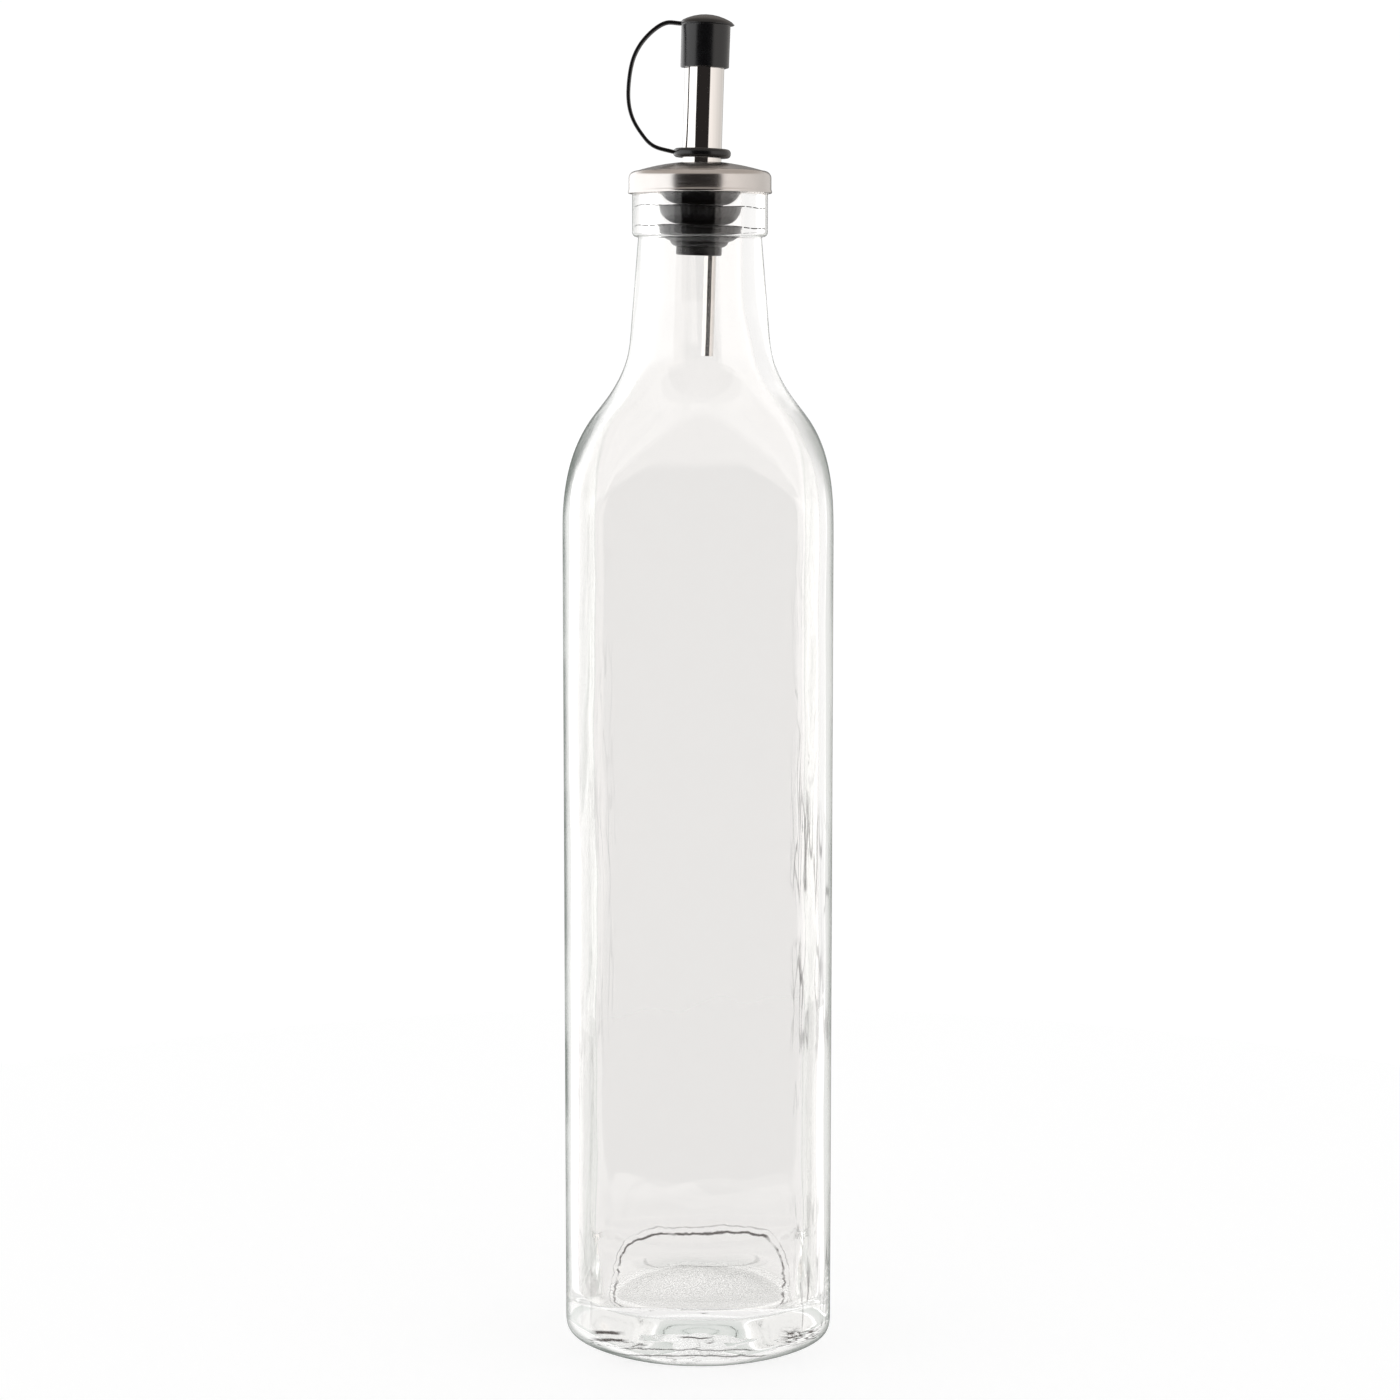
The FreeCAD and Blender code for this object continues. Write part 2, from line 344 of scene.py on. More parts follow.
# The thick corners of the body show it most.
thick = add_node(tree, "ShaderNodeMapRange", {
    "Value": place_parts.outputs["Z"], "From Min": 0.222, "From Max": 0.205, "To Min": 0.4})
edge = add_node(tree, "ShaderNodeMath", {0: edge, 1: thick}, operation="MULTIPLY")
# Light thrown about inside the glass is dulled by its depth alone.
ray = add_node(tree, "ShaderNodeLightPath")
first_look = add_node(tree, "ShaderNodeMath", {
    0: ray.outputs["Glossy Depth"], 1: 1.5}, operation="LESS_THAN")
edge = add_node(tree, "ShaderNodeMath", {0: edge, 1: first_look}, operation="MULTIPLY")
# Painted shade: the glass's colour is darkened to grey-green along the outline.
glass_tint_and_shade = add_node(tree, "ShaderNodeMix", {
    "Factor": edge, "A": linear("#FCFBFA"), "B": linear("#87918B")}, data_type="RGBA")
swirl = add_node(tree, "ShaderNodeTexNoise", {
    "Vector": place.outputs["Object"], "Scale": 90.0, "Detail": 2.0})
ripple = add_node(tree, "ShaderNodeBump", {
    "Height": swirl.outputs["Fac"], "Strength": 0.06, "Distance": 0.0006})
# The foot cools first in the mould, which leaves lying wrinkles outside, 1 to 2 mm apart.
stretched = add_node(tree, "ShaderNodeMapping", {
    "Vector": place.outputs["Object"], "Scale": (1.0, 1.0, 5.0)})
folds = add_node(tree, "ShaderNodeTexNoise", {"Vector": stretched, "Scale": 95.0, "Detail": 3.0})
creases = add_node(tree, "ShaderNodeMapRange", {
    "Value": folds.outputs["Fac"], "From Min": 0.47, "From Max": 0.53},
    interpolation_type="SMOOTHSTEP")
near_foot = add_node(tree, "ShaderNodeMapRange", {
    "Value": place_parts.outputs["Z"], "From Min": 0.0095, "From Max": 0.0075})
on_front = add_node(tree, "ShaderNodeMapRange", {
    "Value": place_parts.outputs["Y"], "From Min": 0.004, "From Max": -0.004})
near_foot = add_node(tree, "ShaderNodeMath", {0: near_foot, 1: on_front}, operation="MULTIPLY")
foot_creases = add_node(tree, "ShaderNodeMath", {0: creases, 1: near_foot}, operation="MULTIPLY")
ripple = add_node(tree, "ShaderNodeBump", {
    "Height": foot_creases, "Strength": 1.0, "Distance": 0.00008, "Normal": ripple})
# The bottom of each wrinkle sends light sideways and looks dark, in patches; that darkness is
# painted shade in the glass's colour.
patches = add_node(tree, "ShaderNodeTexNoise", {
    "Vector": place.outputs["Object"], "Scale": 160.0, "Detail": 2.0})
patchy = add_node(tree, "ShaderNodeMapRange", {
    "Value": patches.outputs["Fac"], "From Min": 0.42, "From Max": 0.56})
off_fold = add_node(tree, "ShaderNodeMath", {0: folds.outputs["Fac"], 1: 0.5}, operation="SUBTRACT")
off_fold = add_node(tree, "ShaderNodeMath", {0: off_fold}, operation="ABSOLUTE")
fold_shade = add_node(tree, "ShaderNodeMapRange", {
    "Value": off_fold, "From Min": 0.022, "From Max": 0.009})
flecks = add_node(tree, "ShaderNodeTexNoise", {"Vector": stretched, "Scale": 620.0, "Detail": 2.0})
flecked = add_node(tree, "ShaderNodeMapRange", {
    "Value": flecks.outputs["Fac"], "From Min": 0.48, "From Max": 0.56})
for factor in (near_foot, patchy, flecked):
    fold_shade = add_node(tree, "ShaderNodeMath", {0: fold_shade, 1: factor}, operation="MULTIPLY")
# Where the floor turns up into the wall, the inside has two broken lines, 1.5 mm apart, drawn dark
# as painted shade in the glass's colour.
across = add_node(tree, "ShaderNodeMath", {0: place_parts.outputs["X"]}, operation="ABSOLUTE")
along = add_node(tree, "ShaderNodeMath", {0: place_parts.outputs["Y"]}, operation="ABSOLUTE")
reach = add_node(tree, "ShaderNodeMath", {0: across, 1: along}, operation="MAXIMUM")
within = add_node(tree, "ShaderNodeMath", {
    0: reach, 1: (body_half - 1.5) * MM}, operation="LESS_THAN")
settled = add_node(tree, "ShaderNodeMath", {
    0: place_parts.outputs["Y"], 1: floor_tilt}, operation="MULTIPLY")
settled = add_node(tree, "ShaderNodeMath", {
    0: place_parts.outputs["Z"], 1: settled}, operation="SUBTRACT")
# They drop by 4.5 mm towards the sides of the floor, which rounds their corners.
sideways = across
for operation, amount in (("DIVIDE", floor_radius * MM), ("POWER", 6.0), ("MULTIPLY", 4.5 * MM)):
    sideways = add_node(tree, "ShaderNodeMath", {0: sideways, 1: amount}, operation=operation)
settled = add_node(tree, "ShaderNodeMath", {0: settled, 1: sideways}, operation="ADD")
waver = add_node(tree, "ShaderNodeTexNoise", {
    "Vector": place.outputs["Object"], "Scale": 240.0, "Detail": 4.0})
waver = add_node(tree, "ShaderNodeMath", {
    0: waver.outputs["Fac"], 1: 1.6 * MM}, operation="MULTIPLY")
settled = add_node(tree, "ShaderNodeMath", {0: settled, 1: waver}, operation="SUBTRACT")
floor_line_shade = 0.0
for line_z, line_width, line_depth in ((15.4, 0.20, 0.6), (14.2, 0.32, 1.0)):
    off_line = add_node(tree, "ShaderNodeMath", {0: settled, 1: line_z * MM}, operation="SUBTRACT")
    off_line = add_node(tree, "ShaderNodeMath", {0: off_line}, operation="ABSOLUTE")
    line = add_node(tree, "ShaderNodeMapRange", {
        "Value": off_line, "From Min": line_width * MM, "From Max": 0.4 * line_width * MM,
        "To Max": line_depth})
    floor_line_shade = add_node(tree, "ShaderNodeMath", {0: line, 1: floor_line_shade}, operation="MAXIMUM")
above_foot = add_node(tree, "ShaderNodeMath", {
    0: place_parts.outputs["Z"], 1: 10.5 * MM}, operation="GREATER_THAN")
# They show only through the wall, not magnified by the heel.
from_above = add_node(tree, "ShaderNodeMath", {
    0: ray.outputs["Transmission Depth"], 1: 1.5}, operation="GREATER_THAN")
broken = add_node(tree, "ShaderNodeMapRange", {
    "Value": patches.outputs["Fac"], "From Min": 0.40, "From Max": 0.52, "To Min": 0.25})
for factor in (within, above_foot, from_above, broken):
    floor_line_shade = add_node(tree, "ShaderNodeMath", {
        0: floor_line_shade, 1: factor}, operation="MULTIPLY")
# Painted shade: the wrinkle lines and floor lines are gathered into one dark mask.
painted_shade_lines = add_node(tree, "ShaderNodeMath", {0: fold_shade, 1: floor_line_shade}, operation="MAXIMUM")
# The parison slid down the mould at the corners and left upright streaks there, drawn dark as
# painted shade.
upright = add_node(tree, "ShaderNodeMapping", {
    "Vector": place.outputs["Object"], "Scale": (1.0, 1.0, 0.07)})
streaks = add_node(tree, "ShaderNodeTexNoise", {"Vector": upright, "Scale": 330.0, "Detail": 2.0})
off_streak = add_node(tree, "ShaderNodeMath", {
    0: streaks.outputs["Fac"], 1: 0.5}, operation="SUBTRACT")
off_streak = add_node(tree, "ShaderNodeMath", {0: off_streak}, operation="ABSOLUTE")
streak_shade = add_node(tree, "ShaderNodeMapRange", {
    "Value": off_streak, "From Min": 0.022, "From Max": 0.008})
corner = add_node(tree, "ShaderNodeMath", {0: across, 1: along}, operation="MINIMUM")
in_corner = add_node(tree, "ShaderNodeMapRange", {
    "Value": corner, "From Min": 0.0205, "From Max": 0.0225})
rightwards = add_node(tree, "ShaderNodeMapRange", {
    "Value": place_parts.outputs["X"], "From Min": -0.01, "From Max": 0.01, "To Min": 0.3})
in_corner = add_node(tree, "ShaderNodeMath", {0: in_corner, 1: rightwards}, operation="MULTIPLY")
slow_patches = add_node(tree, "ShaderNodeTexNoise", {
    "Vector": place.outputs["Object"], "Scale": 28.0, "Detail": 3.0})
in_patch = add_node(tree, "ShaderNodeMapRange", {
    "Value": slow_patches.outputs["Fac"], "From Min": 0.48, "From Max": 0.60, "To Max": 0.75})
low_down = add_node(tree, "ShaderNodeMapRange", {
    "Value": place_parts.outputs["Z"], "From Min": 0.19, "From Max": 0.14})
for factor in (in_corner, in_patch, above_foot, low_down):
    streak_shade = add_node(tree, "ShaderNodeMath", {
        0: streak_shade, 1: factor}, operation="MULTIPLY")
painted_shade_lines = add_node(tree, "ShaderNodeMath", {0: painted_shade_lines, 1: streak_shade}, operation="MAXIMUM")
# Laps in the front of the heel, each at its own height, width and stretch of X, in mm, drawn dark
# as painted shade.
wavering = add_node(tree, "ShaderNodeMath", {
    0: place_parts.outputs["Z"], 1: waver}, operation="SUBTRACT")
heel_lap_shade = 0.0
for lap_z, lap_width, left, right, lap_depth in (
        (3.2, 0.32, -22, 17, 0.9), (4.9, 0.24, -18, 14, 0.9), (7.9, 0.26, -5, 4, 1.0),
        (8.9, 0.6, -24.5, -16, 1.0), (7.1, 0.55, -24.5, -15, 1.0)):
    off_lap = add_node(tree, "ShaderNodeMath", {0: wavering, 1: lap_z * MM}, operation="SUBTRACT")
    off_lap = add_node(tree, "ShaderNodeMath", {0: off_lap}, operation="ABSOLUTE")
    one_lap_shade = add_node(tree, "ShaderNodeMapRange", {
        "Value": off_lap, "From Min": lap_width * MM, "From Max": 0.4 * lap_width * MM,
        "To Max": lap_depth})
    from_middle = add_node(tree, "ShaderNodeMath", {
        0: place_parts.outputs["X"], 1: (left + right) / 2 * MM}, operation="SUBTRACT")
    from_middle = add_node(tree, "ShaderNodeMath", {0: from_middle}, operation="ABSOLUTE")
    stretch = add_node(tree, "ShaderNodeMapRange", {
        "Value": from_middle, "From Min": (right - left) / 2 * MM,
        "From Max": ((right - left) / 2 - 2) * MM})
    one_lap_shade = add_node(tree, "ShaderNodeMath", {0: one_lap_shade, 1: stretch}, operation="MULTIPLY")
    heel_lap_shade = add_node(tree, "ShaderNodeMath", {0: one_lap_shade, 1: heel_lap_shade}, operation="MAXIMUM")
# A speckled patch on the right of the heel, where the gob was cut, drawn dark as painted shade.
from_middle = add_node(tree, "ShaderNodeMath", {
    0: place_parts.outputs["X"], 1: 23.5 * MM}, operation="SUBTRACT")
from_middle = add_node(tree, "ShaderNodeMath", {0: from_middle}, operation="ABSOLUTE")
patch_width = add_node(tree, "ShaderNodeMapRange", {
    "Value": from_middle, "From Min": 0.0055, "From Max": 0.003})
from_height = add_node(tree, "ShaderNodeMath", {
    0: place_parts.outputs["Z"], 1: 8.8 * MM}, operation="SUBTRACT")
from_height = add_node(tree, "ShaderNodeMath", {0: from_height}, operation="ABSOLUTE")
patch_height = add_node(tree, "ShaderNodeMapRange", {
    "Value": from_height, "From Min": 0.003, "From Max": 0.0012})
speckle_shade = add_node(tree, "ShaderNodeMath", {0: patch_width, 1: patch_height}, operation="MULTIPLY")
speckle_shade = add_node(tree, "ShaderNodeMath", {0: speckle_shade, 1: flecked}, operation="MULTIPLY")
heel_lap_shade = add_node(tree, "ShaderNodeMath", {0: heel_lap_shade, 1: speckle_shade}, operation="MAXIMUM")
# They are shallow, so they show only where the eye meets the glass first.
for factor in (on_front, ray.outputs["Is Camera Ray"]):
    heel_lap_shade = add_node(tree, "ShaderNodeMath", {0: heel_lap_shade, 1: factor}, operation="MULTIPLY")
painted_shade_lines = add_node(tree, "ShaderNodeMath", {0: painted_shade_lines, 1: heel_lap_shade}, operation="MAXIMUM")
# Painted shade: all these dark lines darken the glass's colour towards near-black.
glass_tint_and_shade = add_node(tree, "ShaderNodeMix", {
    "Factor": painted_shade_lines, "A": glass_tint_and_shade, "B": linear("#2B2726")}, data_type="RGBA")
surface = add_node(tree, "ShaderNodeBsdfPrincipled", {
    "Base Color": glass_tint_and_shade, "Roughness": 0.0, "IOR": glass_ior, "Transmission Weight": 1.0,
    "Normal": ripple})
# Along the outline the eye looks through centimetres of wall, and the glass's own colour shows. The
# matt grey-green skin mixed in there is also painted shade, heavier on the -X side.
rim = add_node(tree, "ShaderNodeMapRange", {
    "Value": facing.outputs["Facing"], "From Min": 0.48, "From Max": 0.76},
    interpolation_type="SMOOTHSTEP")
# Painted shade: the skin is mixed in more strongly on the -X side than on the +X side.
rim_share = add_node(tree, "ShaderNodeMapRange", {
    "Value": place_parts.outputs["X"], "From Min": -0.01, "From Max": 0.01, "To Min": 0.85,
    "To Max": 0.5})
rim_wave = add_node(tree, "ShaderNodeMapRange", {
    "Value": slow_patches.outputs["Fac"], "From Min": 0.38, "From Max": 0.58, "To Min": 0.35})
for factor in (ray.outputs["Is Camera Ray"], thick, rim_share, rim_wave):
    rim = add_node(tree, "ShaderNodeMath", {0: rim, 1: factor}, operation="MULTIPLY")
# Painted shade: a matt grey-green skin for the dark outline.
outline_colour_and_shade = add_node(tree, "ShaderNodeBsdfDiffuse", {"Color": linear("#6E7771")})
surface = add_node(tree, "ShaderNodeMixShader", {0: rim, 1: surface, 2: outline_colour_and_shade})
depth = add_node(tree, "ShaderNodeVolumeAbsorption", {
    "Color": linear(glass_colour), "Density": glass_density})
# A ray that is caught between the faces is ended with the mean light of the tent.
caught = add_node(tree, "ShaderNodeMath", {
    0: ray.outputs["Glossy Depth"], 1: caught_after}, operation="GREATER_THAN")
mean_light = add_node(tree, "ShaderNodeEmission", {"Color": linear(tent_mean), "Strength": 1.0})
surface = add_node(tree, "ShaderNodeMixShader", {0: caught, 1: surface, 2: mean_light})
add_node(tree, "ShaderNodeOutputMaterial", {"Surface": surface, "Volume": depth})
soda_lime_glass.cycles.emission_sampling = "NONE"
glass_bottle.data.materials.append(soda_lime_glass)

# The underside is stippled in the mould, ring and push-up, so that hot glass doesn't stick.
stippled_glass, tree = new_material("stippled soda-lime glass")
place = add_node(tree, "ShaderNodeTexCoord")
# Stipple dots are about 0.6 mm apart.
stipple = add_node(tree, "ShaderNodeTexVoronoi", {
    "Vector": place.outputs["Object"], "Scale": 1600.0})
dots = add_node(tree, "ShaderNodeBump", {
    "Height": stipple.outputs["Distance"], "Strength": 0.6, "Distance": 0.0004})
surface = add_node(tree, "ShaderNodeBsdfPrincipled", {
    "Base Color": linear("#FAFAF9"), "Roughness": 0.35, "IOR": glass_ior,
    "Transmission Weight": 1.0, "Normal": dots})
depth = add_node(tree, "ShaderNodeVolumeAbsorption", {
    "Color": linear(glass_colour), "Density": glass_density})
ray = add_node(tree, "ShaderNodeLightPath")
caught = add_node(tree, "ShaderNodeMath", {
    0: ray.outputs["Glossy Depth"], 1: caught_after}, operation="GREATER_THAN")
mean_light = add_node(tree, "ShaderNodeEmission", {"Color": linear(tent_mean), "Strength": 1.0})
surface = add_node(tree, "ShaderNodeMixShader", {0: caught, 1: surface, 2: mean_light})
add_node(tree, "ShaderNodeOutputMaterial", {"Surface": surface, "Volume": depth})
stippled_glass.cycles.emission_sampling = "NONE"
glass_bottle.data.materials.append(stippled_glass)
for face in glass_bottle.data.polygons:
    low = face.center.z < (push_up_height + 0.1) * MM and face.normal.z < -0.5
    if low and face.center.xy.length < foot_radius * MM:
        face.material_index = 1
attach(glass_bottle, "bottle")
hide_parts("glass_bottle")

# ---- rubber stopper ------------------------------------------------------------
# The real piece is a moulded black rubber plug: a hollow core with three cupped sealing
# fins and a smaller entry fin, under a flat flange. It is pushed into the bore, so the
# rims of the fins press on the glass.

turn = next(joint for joint in frame["joints"] if joint["name"] == "ring_turn")
lean = math.atan2(turn["axis"][0], turn["axis"][2])
pivot_z = turn["pos_m"][2] / MM - turn["pos_m"][0] / MM / math.tan(lean)
tube_radius = 4.4
core_radius = 5.15
core_bottom_z = mouth_z - 17.6
fin_pitch = 4.45
fin_cup = 3.4
fin_thickness = 0.7
last_rim_z = mouth_z - 1.7 - 2 * fin_pitch
flange_radius = 12.4


def leaned(x, y, z):
    """A point turned with the pourer, which stands a little askew in the neck."""
    up = z - pivot_z
    return (x * math.cos(lean) + up * math.sin(lean), y,
            pivot_z + up * math.cos(lean) - x * math.sin(lean))


def rounded_outline(corners, steps=4):
    """A closed outline of (radius, height) points from corners that each have a rounding."""
    outline = []
    for i, (x, z, rounding) in enumerate(corners):
        corner = Vector((x, z))
        before = Vector(corners[i - 1][:2]) - corner
        after = Vector(corners[(i + 1) % len(corners)][:2]) - corner
        if not rounding:
            outline.append((x, z))
            continue
        half = before.angle(after) / 2
        reach = min(rounding / math.tan(half), 0.48 * before.length, 0.48 * after.length)
        radius = reach * math.tan(half)
        middle = corner + (before.normalized(
            ) + after.normalized()).normalized() * (radius / math.sin(half))
        start = corner + before.normalized() * reach - middle
        end = corner + after.normalized() * reach - middle
        for step in range(steps + 1):
            outline.append(tuple(middle + start.lerp(end, step / steps).normalized() * radius))
    return outline


def turned(outline, count, place_point):
    """An outline turned round the axis, each point put where place_point says."""
    return [[place_point(r * math.cos(math.tau * k / count), r * math.sin(math.tau * k / count), z)
             for k in range(count)] for r, z in outline]


def pressed_fin(rim_radius, rim_z, touches):
    """A cupped fin. Its rim bears on the bore where it touches, and is ragged there."""
    root_z = rim_z - fin_cup * (rim_radius - core_radius) / (bore_radius - core_radius)
    shell = []
    for step in range(13):
        share = math.radians(90 * step / 12)
        shell.append((core_radius - 0.3 + (rim_radius - 0.1 - core_radius) * math.sin(share),
                      rim_z - 0.3 - (rim_z - 0.3 - root_z + fin_thickness) * math.cos(share)))
    shell += [(rim_radius, rim_z - 0.2), (rim_radius, rim_z)]
    for step in range(12, -1, -1):
        share = math.radians(90 * step / 12)
        shell.append((core_radius - 0.3 + (rim_radius - 0.6 - core_radius) * math.sin(share),
                      rim_z - 0.05 - (rim_z - 0.05 - root_z) * math.cos(share)))

    def place_point(x, y, z):
        px, py, pz = leaned(x, y, z)
        if not touches:
            return px, py, pz
        angle = math.atan2(y, x)
        radius = math.hypot(x, y)
        share = ramp((radius - core_radius) / (rim_radius - core_radius))
        ragged = 0.03 * math.sin(23 * angle + rim_z)
        ragged += 0.03 * math.sin(57 * angle + 2 * rim_z)
        ragged += 0.015
        wanted = radius + (0.015 + ragged) * share
        scale = wanted / max(math.hypot(px, py), 1e-6)
        lift = 0.12 * share * math.sin(5 * angle + rim_z)
        return px + (px * scale - px) * share, py + (py * scale - py) * share, pz + lift
    return turned(shell, 240, place_point)


# Moulded rubber: matt black with a soft grey bloom where light skims it.
moulded_rubber, tree = new_material("moulded black rubber")
place = add_node(tree, "ShaderNodeTexCoord")
bloom = add_node(tree, "ShaderNodeTexNoise", {
    "Vector": place.outputs["Object"], "Scale": 900.0, "Detail": 3.0})
shade = add_node(tree, "ShaderNodeMix", {
    "Factor": bloom.outputs["Fac"], "A": linear("#060608"), "B": linear("#131317")},
    data_type="RGBA")
gloss = add_node(tree, "ShaderNodeMapRange", {
    "Value": bloom.outputs["Fac"], "To Min": 0.34, "To Max": 0.5})
grain = add_node(tree, "ShaderNodeBump", {
    "Height": bloom.outputs["Fac"], "Strength": 0.25, "Distance": 0.0001})
surface = add_node(tree, "ShaderNodeBsdfPrincipled", {
    "Base Color": shade, "Roughness": gloss, "IOR": 1.52, "Normal": grain})
add_node(tree, "ShaderNodeOutputMaterial", {"Surface": surface})

stopper_parts = [skin("stopper_core", turned(rounded_outline([
    (tube_radius + 0.02, mouth_z + 1.1, 0), (tube_radius + 0.02, mouth_z - 11, 0),
    (tube_radius - 0.4, mouth_z - 11.2, 0), (tube_radius - 0.4, core_bottom_z, 0.2),
    (core_radius, core_bottom_z, 0.3), (core_radius, mouth_z + 1.1, 0)]),
    96, leaned), loop=True, sharp=40)]
for index in range(3):
    rim_z = last_rim_z + fin_pitch * index
    stopper_parts.append(skin(
        f"stopper_fin_{index}", pressed_fin(bore_radius, rim_z, True), loop=True, sharp=40))
stopper_parts.append(skin("stopper_entry_fin", pressed_fin(
    bore_radius - 2.5, last_rim_z - 3.0, False), loop=True, sharp=40))
stopper_parts.append(skin("stopper_flange", turned(rounded_outline([
    (core_radius + 0.1, mouth_z + 0.1, 0), (flange_radius, mouth_z + 0.1, 0.3),
    (flange_radius, mouth_z + 1.1, 0.4),
    (core_radius + 0.1, mouth_z + 1.1, 0)]), 120, lambda x, y, z: (x, y, z)), loop=True, sharp=40))
for part in stopper_parts:
    part.data.materials.append(moulded_rubber)
    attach(part, "pourer")
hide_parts("stopper")

# ---- steel collar ---------------------------------------------------------------
# The real piece is a pressed cover of thin stainless sheet with a low dome and a short
# skirt whose edge is turned out a little. Its satin finish is brushed round the axis. It
# sits on the stopper's flange, held by the spout that is pressed through it.

collar_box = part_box("collar")
skirt_z = collar_box[0].z / MM
plate_z = skirt_z + 5.0
collar_radius = 16.1
collar_wall = 0.5
dome_foot = 14.5
collar_dome = 2.2
collar_bend = 1.6
hole_radius = 4.5


def collar_point(x, y, z):
    """The hole follows the leaning tube; the rest stands true on the bottle."""
    shift = leaned(0, 0, z)[0] * (1 - ramp((math.hypot(x, y) - hole_radius) / 4))
    return x + shift, y, z


top = [(hole_radius, plate_z + dome_height(hole_radius, dome_foot, collar_dome) - 0.06)]
top += [(r, plate_z + dome_height(
    r, dome_foot, collar_dome)) for r in (4.8, 5.5, 6.5, 8, 9.5, 11, 12.2, 13.2, 13.9)]
for turn_by in range(0, 91, 9):
    a = math.radians(turn_by)
    top.append((dome_foot + collar_bend * math.sin(a),
                plate_z - collar_bend * (1 - math.cos(a)) + 0.02))
skirt = [(
    collar_radius, plate_z - 2.4), (collar_radius, plate_z - 3.2), (collar_radius, skirt_z + 0.9)]
skirt += [(
    collar_radius + 0.1, skirt_z + 0.6), (collar_radius + 0.15, skirt_z + 0.4),
    (collar_radius + 0.15, skirt_z + 0.2), (collar_radius + 0.05, skirt_z + 0.03),
    (collar_radius - 0.12, skirt_z), (collar_radius - 0.35, skirt_z + 0.02)]
under = [(collar_radius - collar_wall, skirt_z + 0.2), (collar_radius - collar_wall, plate_z - 1.7)]
for turn_by in range(90, -1, -15):
    a = math.radians(turn_by)
    under.append((dome_foot + 1.1 * math.sin(a), plate_z - collar_wall - 1.1 * (1 - math.cos(a))))
under += [(r, plate_z - collar_wall + dome_height(
    r, dome_foot, collar_dome)) for r in (12, 9, 6.5, 5, hole_radius)]
collar = skin("steel_collar", turned(top + skirt + under, 256, collar_point), loop=True, sharp=50)

# Satin stainless steel: fine brushing round the axis spreads each reflection sideways.
satin_steel, tree = new_material("satin stainless steel")
place = add_node(tree, "ShaderNodeTexCoord")
parts = add_node(tree, "ShaderNodeSeparateXYZ", {"Vector": place.outputs["Object"]})
flat = add_node(tree, "ShaderNodeCombineXYZ", {"X": parts.outputs["X"], "Y": parts.outputs["Y"]})
out = add_node(tree, "ShaderNodeVectorMath", {0: flat}, operation="LENGTH")
round_about = add_node(tree, "ShaderNodeMath", {
    0: parts.outputs["Y"], 1: parts.outputs["X"]}, operation="ARCTAN2")
small_turn = add_node(tree, "ShaderNodeMath", {0: round_about, 1: 0.0006}, operation="MULTIPLY")
lines = add_node(tree, "ShaderNodeCombineXYZ", {"X": out, "Y": small_turn, "Z": parts.outputs["Z"]})
# Brushing lines are about 0.05 mm apart; they are drawn at 0.25 mm so that they show.
brushing = add_node(tree, "ShaderNodeTexNoise", {"Vector": lines, "Scale": 4000.0, "Detail": 2.0})
cloud = add_node(tree, "ShaderNodeTexNoise", {
    "Vector": place.outputs["Object"], "Scale": 160.0, "Detail": 2.0})
gloss = add_node(tree, "ShaderNodeMapRange", {
    "Value": brushing.outputs["Fac"], "To Min": 0.17, "To Max": 0.27})
shade = add_node(tree, "ShaderNodeMix", {
    "Factor": cloud.outputs["Fac"], "A": linear("#C4C0BD"), "B": linear("#D3CFCC")},
    data_type="RGBA")
grain = add_node(tree, "ShaderNodeBump", {
    "Height": brushing.outputs["Fac"], "Strength": 0.12, "Distance": 0.00005})
surface = add_node(tree, "ShaderNodeBsdfPrincipled", {
    "Base Color": shade, "Metallic": 1.0, "Roughness": gloss, "Normal": grain})
add_node(tree, "ShaderNodeOutputMaterial", {"Surface": surface})
collar.data.materials.append(satin_steel)
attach(collar, "pourer")
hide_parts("collar")

# ---- spout and breather tubes ------------------------------------------------------
# The real pieces are a drawn stainless pouring tube with its tip cut on a slope, and a
# thin air tube soldered inside it that reaches down into the bottle. The spout is pressed
# through the collar into the stopper.

tube_wall = 0.4
tube_low_z = mouth_z - 11.0
tube_tip_z = plate_z + collar_dome + 29.2
tip_slope = math.tan(math.radians(30))
breather_radius = 1.35
breather_wall = 0.35
breather_offset = tube_radius - tube_wall - breather_radius - 0.02


def sloped_tip(x, y, z):
    """Rows above the cut are brought down onto the slope, highest towards +X."""
    cut_z = tube_tip_z - (tube_radius - x) * tip_slope
    share = (z - tube_low_z) / (tube_tip_z - tube_low_z)
    return leaned(x, y, tube_low_z + share * (cut_z - tube_low_z))


tube_inner = tube_radius - tube_wall
tube_heights = [tube_low_z + (tube_tip_z - 0.1 - tube_low_z) * k / 12 for k in range(13)]
tube_rows = [(tube_radius, z) for z in tube_heights]
tube_rows += [(tube_radius - 0.08, tube_tip_z), (tube_inner + 0.08, tube_tip_z)]
tube_rows += [(tube_inner, z) for z in reversed(tube_heights)]
spout = skin("spout", turned(tube_rows, 128, sloped_tip), loop=True, sharp=40)

# Polished stainless steel: mirror bright, with faint drawing marks along the tube.
polished_steel, tree = new_material("polished stainless steel")
place = add_node(tree, "ShaderNodeTexCoord")
along = add_node(tree, "ShaderNodeMapping", {
    "Vector": place.outputs["Object"], "Scale": (1.0, 1.0, 0.02)})
drawing = add_node(tree, "ShaderNodeTexNoise", {"Vector": along, "Scale": 2500.0, "Detail": 2.0})
gloss = add_node(tree, "ShaderNodeMapRange", {
    "Value": drawing.outputs["Fac"], "To Min": 0.03, "To Max": 0.09})
shade = add_node(tree, "ShaderNodeMix", {
    "Factor": drawing.outputs["Fac"], "A": linear("#DAD7D4"), "B": linear("#E4E1DE")},
    data_type="RGBA")
grain = add_node(tree, "ShaderNodeBump", {
    "Height": drawing.outputs["Fac"], "Strength": 0.05, "Distance": 0.00005})
